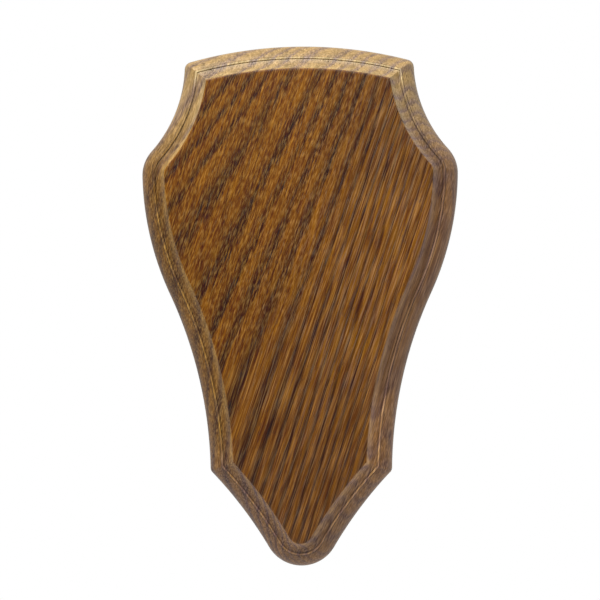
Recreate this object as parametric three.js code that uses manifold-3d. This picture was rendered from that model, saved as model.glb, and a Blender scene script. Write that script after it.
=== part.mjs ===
// Antler mounting plaque: one shield-shaped board of stained oak with a routed rim,
// hung on a wall by a keyhole slot in its back.
//
// Millimetres, +Z up. The back lies on the plane y = 0 and the face looks towards -Y.
// The origin is the middle of the board's height and width, on its back.

import * as THREE from 'three';
import { mergeVertices } from 'three/addons/utils/BufferGeometryUtils.js';
import Module from 'manifold-3d';

// Board
const boardHeight = 200;
const boardThickness = 18;

// Outline at the outer edge, from the crown down to the tip
const crownRadius = 161.4;
const crownWidth = 88.4;
const crownCornerRadius = 3;
const neckRadius = 50.7;
const shoulderWidth = 121.8;
const shoulderDrop = 49.3;
const shoulderRadius = 14;
const flankRadius = 113.5;
const flankCentreRise = 1.8;
const waistRadius = 167.2;
const tailWidth = 70;
const tailLength = 36.7;
const tailCornerRadius = 2.5;
const tailRadius = 159.2;
const tipRadius = 14.6;

// Rim moulding, from the flat field out to the side wall: a cove, a thin fillet that
// stands proud of it, and an ovolo. The tilts are from the field's plane.
const coveRadius = 7.4;
const coveArrisTilt = (65 * Math.PI) / 180;
const coveFootTilt = (20 * Math.PI) / 180;
const filletProud = 0.45;
const filletWidth = 0.9;
const stepHeight = 0.3;
const ovoloWidth = 4.9;
const ovoloRadius = 9.4;
const backChamfer = 0.6;

// Keyhole slot in the back, for the head and neck of a wall screw
const keyholeDrop = 38;
const keyholeTravel = 16;
const keyholeEntryDiameter = 10.6;
const keyholeChannelWidth = 9.6;
const keyholeNeckWidth = 5;
const keyholeLip = 4.4;
const keyholeChannelHeight = 5;

// Fineness of the facets
const outlineStep = 5;
const cornerStep = 2.2;
const fewestCornerSteps = 4;
const mouldingSteps = 6;
const sharpCornerRadius = 0.4;
const holeSegments = 24;
const slotEndSegments = 12;
const cutterOvershoot = 1;

// Heights that the outline hangs on
const topZ = boardHeight / 2;
const tipZ = -boardHeight / 2;
const rightAngle = Math.PI / 2;

const CONVEX = 1;
const CONCAVE = -1;

// A circle that the outline follows. An inset makes a convex one smaller and a
// concave one larger, because both keep their centre.
function outlineCircle(centre, radius, bulge) {
  return { centre, radius, bulge };
}

function insetRadius(circle, inset) {
  return circle.radius - circle.bulge * inset;
}

// The crossing of two circles that lies on the chosen side of the line between
// their centres: +1 is to the left of the way from the first to the second.
function crossing(centreA, radiusA, centreB, radiusB, side) {
  const along = centreB.clone().sub(centreA);
  const distance = along.length();
  along.divideScalar(distance);
  const reach = (distance ** 2 + radiusA ** 2 - radiusB ** 2) / (2 * distance);
  const offset = Math.sqrt(Math.max(radiusA ** 2 - reach ** 2, 0));
  const across = new THREE.Vector2(-along.y, along.x).multiplyScalar(side * offset);
  return centreA.clone().addScaledVector(along, reach).add(across);
}

function angleFrom(centre, point) {
  return Math.atan2(point.y - centre.y, point.x - centre.x);
}

// The circles of the right half, each tangent to the next or meeting it in a corner.
// Points are (x, z) pairs.
const crownTop = new THREE.Vector2(0, topZ);
const crownCentre = new THREE.Vector2(0, topZ - crownRadius);
const crownCorner = new THREE.Vector2(crownWidth / 2, 0);
crownCorner.y = crownCentre.y + Math.sqrt(crownRadius ** 2 - crownCorner.x ** 2);

const shoulderCentre = new THREE.Vector2(shoulderWidth / 2 - shoulderRadius, topZ - shoulderDrop);
const neckCentre = crossing(
  shoulderCentre, shoulderRadius + neckRadius, crownCorner, neckRadius, -1,
);

const flankReach = Math.sqrt((flankRadius - shoulderRadius) ** 2 - flankCentreRise ** 2);
const flankCentre = new THREE.Vector2(shoulderCentre.x - flankReach, shoulderCentre.y + flankCentreRise);

const tailCorner = new THREE.Vector2(tailWidth / 2, tipZ + tailLength);
const waistCentre = crossing(
  flankCentre, flankRadius + waistRadius, tailCorner, waistRadius, 1,
);

const tipCentre = new THREE.Vector2(0, tipZ + tipRadius);
const tailCentre = crossing(
  tailCorner, tailRadius, tipCentre, tipRadius + tailRadius, 1,
);

const crown = outlineCircle(crownCentre, crownRadius, CONVEX);
const neck = outlineCircle(neckCentre, neckRadius, CONCAVE);
const flank = outlineCircle(flankCentre, flankRadius, CONVEX);
const waist = outlineCircle(waistCentre, waistRadius, CONCAVE);
const tail = outlineCircle(tailCentre, tailRadius, CONCAVE);

// A rounded corner between two circles. Its radius shrinks with the inset until the
// corner is sharp, as a cutter that follows the edge leaves it.
function corner(before, after, radius, side, inset) {
  const rounding = Math.max(radius - inset, sharpCornerRadius);
  const depth = inset + rounding;
  const centre = crossing(
    before.centre, insetRadius(before, depth), after.centre, insetRadius(after, depth), side,
  );
  return { centre, radius: rounding, start: touchAngle(before, centre), end: touchAngle(after, centre) };
}

// The direction, from a corner's centre, in which it touches a neighbouring circle.
function touchAngle(circle, cornerCentre) {
  const outwards = angleFrom(circle.centre, cornerCentre);
  return circle.bulge === CONVEX ? outwards : outwards + Math.PI;
}

// Turns an angle by whole turns until it is within half a turn of another.
function nearTo(angle, reference) {
  return reference + THREE.MathUtils.euclideanModulo(angle - reference + Math.PI, 2 * Math.PI) - Math.PI;
}

// One arc of the outline, from one angle to the other the short way round, with the
// greatest length of its facets and the fewest it may have.
function arc(centre, radius, start, end, facet, fewest) {
  return { centre, radius, start, sweep: nearTo(end, start) - start, facet, fewest };
}

// The arc of a long circle, between the directions of the points that bound it.
function longArc(circle, inset, from, to) {
  const start = angleFrom(circle.centre, from);
  const end = angleFrom(circle.centre, to);
  return arc(circle.centre, insetRadius(circle, inset), start, end, outlineStep, 1);
}

function cornerArc({ centre, radius, start, end }) {
  return arc(centre, radius, start, end, cornerStep, fewestCornerSteps);
}

// The round tip, on the board's middle line between the tail's two sides.
function tipArc(inset) {
  const radius = Math.max(tipRadius - inset, sharpCornerRadius);
  const reach = insetRadius(tail, inset + radius);
  const centre = new THREE.Vector2(0, tail.centre.y + Math.sqrt(reach ** 2 - tail.centre.x ** 2));
  return cornerArc({ centre, radius, start: touchAngle(tail, centre), end: -rightAngle });
}

// The arcs of the right half at an inset, from the top of the crown to the tip.
function halfArcs(inset) {
  const crownEnd = corner(crown, neck, crownCornerRadius, 1, inset);
  const shoulder = corner(neck, flank, shoulderRadius, 1, inset);
  const tailEnd = corner(waist, tail, tailCornerRadius, -1, inset);
  const tip = tipArc(inset);
  const inflection = flank.centre.clone().lerp(
    waist.centre, flank.radius / (flank.radius + waist.radius),
  );
  return [
    longArc(crown, inset, crownTop, crownEnd.centre),
    cornerArc(crownEnd),
    longArc(neck, inset, crownEnd.centre, shoulder.centre),
    cornerArc(shoulder),
    longArc(flank, inset, shoulder.centre, inflection),
    longArc(waist, inset, inflection, tailEnd.centre),
    cornerArc(tailEnd),
    longArc(tail, inset, tailEnd.centre, tip.centre),
    tip,
  ];
}

// How many facets each arc gets. They are counted once, on the outer edge, so that
// every ring of the rim has the same number of points.
const arcSteps = halfArcs(0).map(({ radius, sweep, facet, fewest }) => {
  const length = Math.abs(sweep) * radius;
  return Math.max(Math.ceil(length / facet), fewest);
});

// The closed outline at an inset, clockwise as seen from the front: down the right
// half and up its mirror image.
function outlineRing(inset) {
  const arcs = halfArcs(inset);
  const right = [];
  arcs.forEach((piece, place) => {
    for (let step = 0; step < arcSteps[place]; step += 1) {
      const angle = piece.start + (piece.sweep * step) / arcSteps[place];
      right.push(new THREE.Vector2(
        piece.centre.x + piece.radius * Math.cos(angle),
        piece.centre.y + piece.radius * Math.sin(angle),
      ));
    }
  });
  const tip = arcs.at(-1);
  right.push(new THREE.Vector2(0, tip.centre.y - tip.radius));
  const left = right.slice(1, -1).reverse().map((point) => new THREE.Vector2(-point.x, point.y));
  return right.concat(left);
}

// The rim's section as (inset, y) pairs, from the chamfer on the back to the field.
function rimSection() {
  const coveDepth = coveRadius * (Math.cos(coveFootTilt) - Math.cos(coveArrisTilt));
  const coveFootY = coveDepth - boardThickness;
  const filletY = coveFootY - filletProud;
  const ovoloSweep = Math.acos(1 - ovoloWidth / ovoloRadius);
  const ovoloFootY = filletY + stepHeight + ovoloRadius * Math.sin(ovoloSweep);
  const quirkInset = ovoloWidth + filletWidth;
  const coveMiddleInset = quirkInset - coveRadius * Math.sin(coveFootTilt);
  const coveMiddleY = coveFootY - coveRadius * Math.cos(coveFootTilt);
  const section = [
    { inset: backChamfer, y: 0 },
    { inset: 0, y: -backChamfer },
  ];
  for (let step = 0; step <= mouldingSteps; step += 1) {
    const turn = (ovoloSweep * step) / mouldingSteps;
    section.push({
      inset: ovoloRadius * (1 - Math.cos(turn)),
      y: ovoloFootY - ovoloRadius * Math.sin(turn),
    });
  }
  section.push({ inset: ovoloWidth, y: filletY });
  section.push({ inset: quirkInset, y: filletY });
  for (let step = 0; step <= mouldingSteps; step += 1) {
    const tilt = coveFootTilt + ((coveArrisTilt - coveFootTilt) * step) / mouldingSteps;
    section.push({
      inset: coveMiddleInset + coveRadius * Math.sin(tilt),
      y: coveMiddleY + coveRadius * Math.cos(tilt),
    });
  }
  return section;
}

// The board: the rim's section swept round the outline, closed by the two flat faces.
function boardGeometry() {
  const section = rimSection();
  const rings = section.map(({ inset }) => outlineRing(inset));
  const count = rings[0].length;
  const positions = [];
  rings.forEach((ring, level) => {
    ring.forEach((point) => positions.push(point.x, section[level].y, point.y));
  });
  const index = [];
  for (let level = 0; level < rings.length - 1; level += 1) {
    for (let place = 0; place < count; place += 1) {
      const next = (place + 1) % count;
      const low = level * count;
      const high = low + count;
      index.push(low + place, high + place, low + next);
      index.push(low + next, high + place, high + next);
    }
  }
  const fieldStart = (rings.length - 1) * count;
  for (const [a, b, c] of THREE.ShapeUtils.triangulateShape(rings[0], [])) {
    index.push(a, c, b);
  }
  for (const [a, b, c] of THREE.ShapeUtils.triangulateShape(rings.at(-1), [])) {
    index.push(fieldStart + a, fieldStart + b, fieldStart + c);
  }
  const geometry = new THREE.BufferGeometry();
  geometry.setAttribute('position', new THREE.Float32BufferAttribute(positions, 3));
  geometry.setIndex(index);
  return geometry;
}

// A cutter for the back: an upright outline in x and z, sunk to a depth between two
// levels behind the back's plane.
function backCutter(shape, shallow, deep, segments) {
  const geometry = new THREE.ExtrudeGeometry(shape, {
    depth: deep - shallow, bevelEnabled: false, curveSegments: segments,
  });
  geometry.rotateX(rightAngle);
  geometry.translate(0, -shallow, 0);
  return geometry;
}

// A slot's outline: straight sides between a lower and an upper round end.
function slotShape(width, lowZ, highZ) {
  const radius = width / 2;
  const shape = new THREE.Shape();
  shape.absarc(0, highZ, radius, 0, Math.PI, false);
  shape.absarc(0, lowZ, radius, Math.PI, 2 * Math.PI, false);
  shape.closePath();
  return shape;
}

function discShape(diameter, centreZ) {
  const shape = new THREE.Shape();
  shape.absarc(0, centreZ, diameter / 2, 0, 2 * Math.PI, false);
  return shape;
}

// The keyhole's three cuts: the round entry for the screw's head, the narrow slot for
// its neck, and the wider channel that the head runs up inside.
function keyholeCutters() {
  const hangZ = topZ - keyholeDrop;
  const entryZ = hangZ - keyholeTravel;
  const floorDepth = keyholeLip + keyholeChannelHeight;
  const neckDepth = keyholeLip + keyholeChannelHeight / 2;
  return [
    backCutter(discShape(keyholeEntryDiameter, entryZ), -cutterOvershoot, floorDepth, holeSegments),
    backCutter(slotShape(keyholeNeckWidth, entryZ, hangZ), -cutterOvershoot, neckDepth, slotEndSegments),
    backCutter(slotShape(keyholeChannelWidth, entryZ, hangZ), keyholeLip, floorDepth, slotEndSegments),
  ];
}

const wasm = await Module();
wasm.setup();

// A solid from a closed geometry, with its shared corners merged.
function solidFrom(geometry) {
  const bare = geometry.clone();
  bare.deleteAttribute('normal');
  bare.deleteAttribute('uv');
  const merged = mergeVertices(bare);
  return new wasm.Manifold(new wasm.Mesh({
    numProp: 3,
    vertProperties: new Float32Array(merged.attributes.position.array),
    triVerts: new Uint32Array(merged.index.array),
  }));
}

function geometryFrom(solid) {
  const cut = solid.getMesh();
  const geometry = new THREE.BufferGeometry();
  geometry.setAttribute('position', new THREE.BufferAttribute(cut.vertProperties, 3));
  geometry.setIndex(new THREE.BufferAttribute(cut.triVerts, 1));
  geometry.computeVertexNormals();
  return geometry;
}

function makePlaque() {
  let solid = solidFrom(boardGeometry());
  for (const cutter of keyholeCutters()) {
    solid = solid.subtract(solidFrom(cutter));
  }
  const oak = new THREE.MeshStandardMaterial({ color: 0x7a5128, roughness: 0.5, metalness: 0 });
  const mesh = new THREE.Mesh(geometryFrom(solid), oak);
  mesh.name = 'plaque_board';
  return mesh;
}

const plaque = new THREE.Group();
plaque.add(makePlaque());

export default plaque;
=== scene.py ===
# %% [markdown]
# # An antler mounting plaque in stained oak
#
# The real object is one board, sawn to a shield with a long tail, routed round its face
# with a cove and an ovolo, stained dark brown and waxed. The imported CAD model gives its
# place and its size. This lesson draws the same board again with finer curves and then
# gives it the look of open-pored oak.

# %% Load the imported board
import math

import bmesh
import bpy
from mathutils import Matrix, Vector


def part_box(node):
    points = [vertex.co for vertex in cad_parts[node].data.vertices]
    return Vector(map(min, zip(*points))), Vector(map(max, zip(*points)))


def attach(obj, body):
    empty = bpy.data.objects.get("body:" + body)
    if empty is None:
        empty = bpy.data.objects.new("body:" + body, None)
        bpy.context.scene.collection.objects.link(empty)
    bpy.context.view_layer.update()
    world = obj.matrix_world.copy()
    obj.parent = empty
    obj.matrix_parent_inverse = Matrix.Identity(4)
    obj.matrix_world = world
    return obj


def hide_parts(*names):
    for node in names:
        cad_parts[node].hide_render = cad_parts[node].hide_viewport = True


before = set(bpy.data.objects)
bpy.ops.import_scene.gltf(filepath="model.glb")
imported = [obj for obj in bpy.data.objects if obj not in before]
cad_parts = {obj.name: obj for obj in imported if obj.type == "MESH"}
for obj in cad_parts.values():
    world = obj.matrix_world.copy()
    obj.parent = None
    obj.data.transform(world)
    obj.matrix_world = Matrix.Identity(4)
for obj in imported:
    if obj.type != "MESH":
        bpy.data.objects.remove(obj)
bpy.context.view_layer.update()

MM = 0.001
NODE = "plaque_board"
node_low, node_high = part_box(NODE)
height = node_high.z - node_low.z
width = node_high.x - node_low.x
thickness = node_high.y - node_low.y
print(f"CAD board: {width / MM:.1f} wide, {height / MM:.1f} tall, {thickness / MM:.1f} mm thick")

# %% [markdown]
# ## The outline
#
# A joiner sets such a shield out with a compass: a shallow crown, a hollow neck, a round
# shoulder, a full flank, a hollow waist, a tail with hollow sides and a round tip. It could
# be traced as a free curve, but arcs that touch each other keep it fair, and the rim can
# then follow it at any distance inwards: every arc keeps its centre, a bulging one gets
# smaller and a hollow one larger.

# %% The compass circles
CROWN_RADIUS = 161.4 * MM
CROWN_WIDTH = 88.4 * MM
CROWN_CORNER_RADIUS = 3 * MM
NECK_RADIUS = 50.7 * MM
SHOULDER_DROP = 49.3 * MM
SHOULDER_RADIUS = 14 * MM
FLANK_RADIUS = 113.5 * MM
FLANK_CENTRE_RISE = 1.8 * MM
WAIST_RADIUS = 167.2 * MM
TAIL_WIDTH = 70 * MM
TAIL_LENGTH = 36.7 * MM
TAIL_CORNER_RADIUS = 2.5 * MM
TAIL_RADIUS = 159.2 * MM
TIP_RADIUS = 14.6 * MM
SHARPEST_CORNER = 0.15 * MM

CONVEX = 1
HOLLOW = -1
top_z = node_high.z
tip_z = node_low.z


def crossing(centre_a, radius_a, centre_b, radius_b, side):
    """Where two circles cross, left (+1) or right (-1) of the way from a to b. Points are (x, z)."""
    along = centre_b - centre_a
    distance = along.length
    along /= distance
    reach = (distance**2 + radius_a**2 - radius_b**2) / (2 * distance)
    offset = math.sqrt(max(radius_a**2 - reach**2, 0))
    return centre_a + along * reach + Vector((-along.y, along.x)) * side * offset


crown_centre = Vector((0, top_z - CROWN_RADIUS))
corner_x = CROWN_WIDTH / 2
crown_corner = Vector((corner_x, crown_centre.y + math.sqrt(CROWN_RADIUS**2 - corner_x**2)))
shoulder_centre = Vector((width / 2 - SHOULDER_RADIUS, top_z - SHOULDER_DROP))
neck_centre = crossing(
    shoulder_centre, SHOULDER_RADIUS + NECK_RADIUS, crown_corner, NECK_RADIUS, -1)
flank_reach = math.sqrt((FLANK_RADIUS - SHOULDER_RADIUS)**2 - FLANK_CENTRE_RISE**2)
flank_centre = shoulder_centre + Vector((-flank_reach, FLANK_CENTRE_RISE))
tail_corner = Vector((TAIL_WIDTH / 2, tip_z + TAIL_LENGTH))
waist_centre = crossing(
    flank_centre, FLANK_RADIUS + WAIST_RADIUS, tail_corner, WAIST_RADIUS, 1)
tip_centre = Vector((0, tip_z + TIP_RADIUS))
tail_centre = crossing(
    tail_corner, TAIL_RADIUS, tip_centre, TIP_RADIUS + TAIL_RADIUS, 1)

crown = (crown_centre, CROWN_RADIUS, CONVEX)
neck = (neck_centre, NECK_RADIUS, HOLLOW)
flank = (flank_centre, FLANK_RADIUS, CONVEX)
waist = (waist_centre, WAIST_RADIUS, HOLLOW)
tail = (tail_centre, TAIL_RADIUS, HOLLOW)
for name, circle in {"crown": crown, "neck": neck, "flank": flank, "waist": waist, "tail": tail}.items():
    print(f"{name}: centre {circle[0].x / MM:.1f}, {circle[0].y / MM:.1f} mm, radius {circle[1] / MM:.1f} mm")

# %% [markdown]
# ## The arcs at an inset
#
# Every ring round the board needs its own start and end for each arc. The touching points
# could be solved with algebra for one ring, but two circles drawn at the new distance cross
# at the corner's centre, and that holds for every ring.

# %% The arcs at an inset
def inset_radius(circle, inset):
    """A circle's radius once the outline has moved inwards."""
    return circle[1] - circle[2] * inset


def direction(centre, point):
    """The angle in which a point lies from a centre."""
    return math.atan2(point.y - centre.y, point.x - centre.x)


def touch_angle(circle, centre):
    """The direction in which a corner's arc touches a neighbouring circle."""
    outwards = direction(circle[0], centre)
    return outwards if circle[2] == CONVEX else outwards + math.pi


def rounded(before, after, radius, side, inset):
    """A corner between two circles: its radius shrinks with the inset until it is sharp."""
    small = max(radius - inset, SHARPEST_CORNER)
    depth = inset + small
    centre = crossing(
        before[0], inset_radius(before, depth), after[0], inset_radius(after, depth), side)
    return centre, touch_angle(before, centre), touch_angle(after, centre)


def half_arcs(inset):
    """(centre, start angle, end angle) of each arc from the crown's middle to the tip."""
    crown_end = rounded(crown, neck, CROWN_CORNER_RADIUS, 1, inset)
    shoulder = rounded(neck, flank, SHOULDER_RADIUS, 1, inset)
    tail_end = rounded(waist, tail, TAIL_CORNER_RADIUS, -1, inset)
    tip_small = max(TIP_RADIUS - inset, SHARPEST_CORNER)
    reach = inset_radius(tail, inset + tip_small)
    tip = Vector((0, tail[0].y + math.sqrt(reach**2 - tail[0].x**2)))
    inflection = flank[0].lerp(waist[0], flank[1] / (flank[1] + waist[1]))
    return [
        (crown[0], math.pi / 2, direction(crown[0], crown_end[0])),
        crown_end,
        (neck[0], direction(neck[0], crown_end[0]), direction(neck[0], shoulder[0])),
        shoulder,
        (flank[0], direction(flank[0], shoulder[0]), direction(flank[0], inflection)),
        (waist[0], direction(waist[0], inflection), direction(waist[0], tail_end[0])),
        tail_end,
        (tail[0], direction(tail[0], tail_end[0]), direction(tail[0], tip)),
        (tip, touch_angle(tail, tip), -math.pi / 2),
    ]


def short_way(start, end):
    """The turn from one direction to another, the shorter way round."""
    return (end - start + math.pi) % (2 * math.pi) - math.pi


print(f"arcs on each half: {len(half_arcs(0))}")

# %% [markdown]
# ## Drawing one ring
#
# Spinning a single vertex round a compass centre leaves an arc of edges behind it, just as
# the pencil does. Nine spins, each starting where the last one stopped, draw the right
# half, and a mirror gives the left half and joins the two.

# %% Spin the outline
ARC_STEPS = (34, 5, 34, 14, 40, 58, 5, 34, 18)
JOIN = 0.0005 * MM
FRONT_AXIS = Vector((0, 1, 0))


def spin_pencil(bm, pencil, centre, angle, axis, steps):
    """Swings the pencil round a compass centre, and returns it where it stops."""
    last = bmesh.ops.spin(
        bm, geom=[pencil], cent=centre, axis=axis, angle=angle, steps=steps,
        use_merge=False, use_duplicate=False)
    return next(g for g in last["geom_last"] if isinstance(g, bmesh.types.BMVert))


def outline_ring(inset, y):
    """The closed outline at an inset and a depth, as a mesh of edges."""
    bm = bmesh.new()
    pencil = bm.verts.new((0, y, top_z - inset))
    for (centre, start, end), steps in zip(half_arcs(inset), ARC_STEPS):
        angle = -short_way(start, end)
        pencil = spin_pencil(bm, pencil, (centre.x, y, centre.y), angle, FRONT_AXIS, steps)
    pencil.co = (0, y, tip_z + inset)
    bmesh.ops.mirror(
        bm, geom=bm.verts[:] + bm.edges[:], matrix=Matrix.Identity(4), merge_dist=JOIN, axis="X")
    ring = bpy.data.meshes.new("ring")
    bm.to_mesh(ring)
    bm.free()
    return ring


trial = outline_ring(0, 0)
print(f"one ring: {len(trial.vertices)} points, {len(trial.edges)} edges")
bpy.data.meshes.remove(trial)

# %% [markdown]
# ## The rim's section
#
# The router's cutter leaves a cove under the field, a thin fillet that stands proud of it and
# an ovolo that rolls over to the side wall. Sanding then takes the edge off every arris and
# wears the fillet a little lower than the cutter left it. The section could be one smooth
# curve, but drawn as a wire of one arc after another it keeps its sharp corners. These are
# bevelled, so that each arris catches a thin line of light as a real one does.

# %% Draw the section
COVE_RADIUS = 7.4 * MM
COVE_ARRIS_TILT = math.radians(65)
COVE_FOOT_TILT = math.radians(20)
FILLET_PROUD = 0.28 * MM
FILLET_WIDTH = 0.9 * MM
STEP_HEIGHT = 0.3 * MM
OVOLO_WIDTH = 4.9 * MM
OVOLO_RADIUS = 9.4 * MM
BACK_CHAMFER = 0.6 * MM
FIELD_MARGIN = 1 * MM
ARRIS = 0.22 * MM
CURVE_STEPS = 12
ARRIS_STEPS = 3
SHARP_TURN = math.radians(40)
SECTION_AXIS = Vector((0, 0, 1))


def line_to(bm, pencil, point):
    """Draws a straight line to a point, and returns the pencil there."""
    made = bmesh.ops.extrude_vert_indiv(bm, verts=[pencil])["verts"][0]
    made.co = Vector((*point, 0))
    return made


def turn_at(vert):
    """How sharply the wire turns at one of its points."""
    if len(vert.link_edges) != 2:
        return 0
    one, two = (edge.other_vert(vert).co - vert.co for edge in vert.link_edges)
    return math.pi - one.angle(two)


def walk(bm):
    """The wire's points in order, from the end that lies on the back."""
    ends = [vert for vert in bm.verts if len(vert.link_edges) == 1]
    vert = max(ends, key=lambda v: v.co.y)
    path, came = [vert], None
    while True:
        onward = [edge for edge in vert.link_edges if edge != came]
        if not onward:
            return [(v.co.x, v.co.y) for v in path]
        came = onward[0]
        vert = came.other_vert(vert)
        path.append(vert)


def rim_section():
    """The section as (inset, y) points from the back to the field."""
    face_y = node_low.y
    cove_centre_y = face_y - COVE_RADIUS * math.cos(COVE_ARRIS_TILT)
    cove_foot_y = cove_centre_y + COVE_RADIUS * math.cos(COVE_FOOT_TILT)
    fillet_y = cove_foot_y - FILLET_PROUD
    ovolo_sweep = math.acos(1 - OVOLO_WIDTH / OVOLO_RADIUS)
    ovolo_foot_y = fillet_y + STEP_HEIGHT + OVOLO_RADIUS * math.sin(ovolo_sweep)
    quirk_inset = OVOLO_WIDTH + FILLET_WIDTH
    cove_centre_inset = quirk_inset - COVE_RADIUS * math.sin(COVE_FOOT_TILT)
    field_inset = cove_centre_inset + COVE_RADIUS * math.sin(COVE_ARRIS_TILT)
    bm = bmesh.new()
    pencil = bm.verts.new((BACK_CHAMFER + FIELD_MARGIN, node_high.y, 0))
    pencil = line_to(bm, pencil, (BACK_CHAMFER, node_high.y))
    pencil = line_to(bm, pencil, (0, node_high.y - BACK_CHAMFER))
    pencil = line_to(bm, pencil, (0, ovolo_foot_y))
    ovolo_centre = (OVOLO_RADIUS, ovolo_foot_y, 0)
    pencil = spin_pencil(bm, pencil, ovolo_centre, ovolo_sweep, SECTION_AXIS, CURVE_STEPS)
    pencil = line_to(bm, pencil, (OVOLO_WIDTH, fillet_y))
    pencil = line_to(bm, pencil, (quirk_inset, fillet_y))
    pencil = line_to(bm, pencil, (quirk_inset, cove_foot_y))
    cove_centre = (cove_centre_inset, cove_centre_y, 0)
    cove_sweep = COVE_FOOT_TILT - COVE_ARRIS_TILT
    pencil = spin_pencil(bm, pencil, cove_centre, cove_sweep, SECTION_AXIS, CURVE_STEPS)
    line_to(bm, pencil, (field_inset + FIELD_MARGIN, face_y))
    sharp = [vert for vert in bm.verts if turn_at(vert) > SHARP_TURN]
    bmesh.ops.bevel(
        bm, geom=sharp, offset=ARRIS, offset_type="OFFSET", segments=ARRIS_STEPS,
        profile=0.5, affect="VERTICES", material=-1)
    points = walk(bm)
    bm.free()
    return points, cove_foot_y


section, section_quirk = rim_section()
print(f"rim section: {len(section)} points, {section[-1][0] / MM:.2f} mm inwards, "
      f"{(section[-1][1] - section[0][1]) / MM:.2f} mm forwards")

# %% [markdown]
# ## Skinning the board
#
# The router follows the outline once for each depth. In the same way one ring is drawn for
# each point of the section: the last ring's edges are extruded, and the new points are laid
# on the next ring. Every ring has the same arcs in the same order, so its points match the
# last one's, also at the corners, where the rings run into sharp mitres. The two flat faces
# are filled at the end.

# %% Extrude from ring to ring
def lay_next(bm, verts, edges, ring):
    """Extrudes a ring's edges and lays the new points on the next ring, in the same order."""
    made = bmesh.ops.extrude_edge_only(bm, edges=edges)["geom"]
    fresh = {g for g in made if isinstance(g, bmesh.types.BMVert)}
    onward = []
    for vert, target in zip(verts, ring.vertices):
        twin = next(e.other_vert(vert) for e in vert.link_edges if e.other_vert(vert) in fresh)
        twin.co = target.co
        onward.append(twin)
    rim = [g for g in made if isinstance(g, bmesh.types.BMEdge) and fresh.issuperset(g.verts)]
    return onward, rim


def build_board():
    """The whole board as one closed mesh, without its keyhole."""
    bm = bmesh.new()
    bm.from_mesh(outline_ring(*section[0]))
    verts, edges = bm.verts[:], bm.edges[:]
    bmesh.ops.edgeloop_fill(bm, edges=edges)
    for inset, y in section[1:]:
        verts, edges = lay_next(bm, verts, edges, outline_ring(inset, y))
    bmesh.ops.edgeloop_fill(bm, edges=edges)
    bmesh.ops.recalc_face_normals(bm, faces=bm.faces)
    mesh = bpy.data.meshes.new("oak_board")
    bm.to_mesh(mesh)
    bm.free()
    board = bpy.data.objects.new("oak_board", mesh)
    bpy.context.scene.collection.objects.link(board)
    return board


board = build_board()
print(f"board: {len(board.data.polygons)} faces, "
      f"{sum(len(p.vertices) != 4 for p in board.data.polygons)} of them not quads")

# %% [markdown]
# ## The keyhole in the back
#
# Nothing shows from the front, so the board hangs on a hidden screw. A keyhole cutter
# plunges in, runs up and comes back out: a round entry, a slot as narrow as the screw's
# neck, and behind it a channel as wide as its head. Cutting it with three tools, as the
# machine does, is simpler than leaving a hole in the filled face.

# %% Cut the keyhole
KEYHOLE_DROP = 38 * MM
KEYHOLE_TRAVEL = 16 * MM
ENTRY_DIAMETER = 10.6 * MM
CHANNEL_WIDTH = 9.6 * MM
NECK_WIDTH = 5 * MM
LIP = 4.4 * MM
CHANNEL_HEIGHT = 5 * MM
CUTTER_POINTS = 48
OVERSHOOT = 1 * MM

hang_z = top_z - KEYHOLE_DROP
entry_z = hang_z - KEYHOLE_TRAVEL


def cutter(name, diameter, low_z, high_z, near, far):
    """A solid pin, drawn out upwards into a slot, from one depth behind the back to another."""
    bm = bmesh.new()
    turned = Matrix.Translation((0, node_high.y - near, low_z)) @ Matrix.Rotation(math.pi / 2, 4, "X")
    disc = bmesh.ops.create_circle(
        bm, cap_ends=True, segments=CUTTER_POINTS, radius=diameter / 2, matrix=turned)["verts"]
    upper = [vert for vert in disc if vert.co.z > low_z]
    bmesh.ops.translate(bm, verts=upper, vec=(0, 0, high_z - low_z))
    floor = bmesh.ops.extrude_face_region(bm, geom=bm.faces[:])["geom"]
    sunk = [g for g in floor if isinstance(g, bmesh.types.BMVert)]
    bmesh.ops.translate(bm, verts=sunk, vec=(0, near - far, 0))
    bmesh.ops.recalc_face_normals(bm, faces=bm.faces)
    mesh = bpy.data.meshes.new(name)
    bm.to_mesh(mesh)
    bm.free()
    pin = bpy.data.objects.new(name, mesh)
    bpy.context.scene.collection.objects.link(pin)
    return pin


def cut(piece, tool):
    """Takes the tool's shape out of the piece, and puts the tool away."""
    step = piece.modifiers.new("cut", "BOOLEAN")
    step.operation = "DIFFERENCE"
    step.solver = "EXACT"
    step.object = tool
    evaluated = piece.evaluated_get(bpy.context.evaluated_depsgraph_get())
    result = bpy.data.meshes.new_from_object(evaluated)
    piece.modifiers.clear()
    piece.data = result
    bpy.data.objects.remove(tool)


channel_floor = LIP + CHANNEL_HEIGHT
cut(board, cutter("entry", ENTRY_DIAMETER, entry_z, entry_z, -OVERSHOOT, channel_floor))
cut(board, cutter("neck", NECK_WIDTH, entry_z, hang_z, -OVERSHOOT, LIP + CHANNEL_HEIGHT / 2))
cut(board, cutter("channel", CHANNEL_WIDTH, entry_z, hang_z, LIP, channel_floor))
print(f"after the keyhole: {len(board.data.polygons)} faces")

# %% [markdown]
# ## Smooth curves and crisp arrises
#
# The cove and the ovolo are round on the real board, and its arrises are narrow but crisp.
# More rings would make the curves rounder at a cost in faces. Shading them smooth and
# marking only the sharper edges gives the same look.

# %% Smooth shading
SMOOTH_BELOW = math.radians(32)
board.data.polygons.foreach_set("use_smooth", [True] * len(board.data.polygons))
board.data.set_sharp_from_angle(angle=SMOOTH_BELOW)
sharp_count = sum(edge.use_edge_sharp for edge in board.data.edges)
print(f"sharp edges: {sharp_count} of {len(board.data.edges)}")

# %% [markdown]
# ## Wiring helpers
#
# A procedural wood is many small sums, and each could be wired by hand in the node editor.
# These helpers keep every sum on one line: they add a node, fill in its sockets and hand
# back its result.

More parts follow.
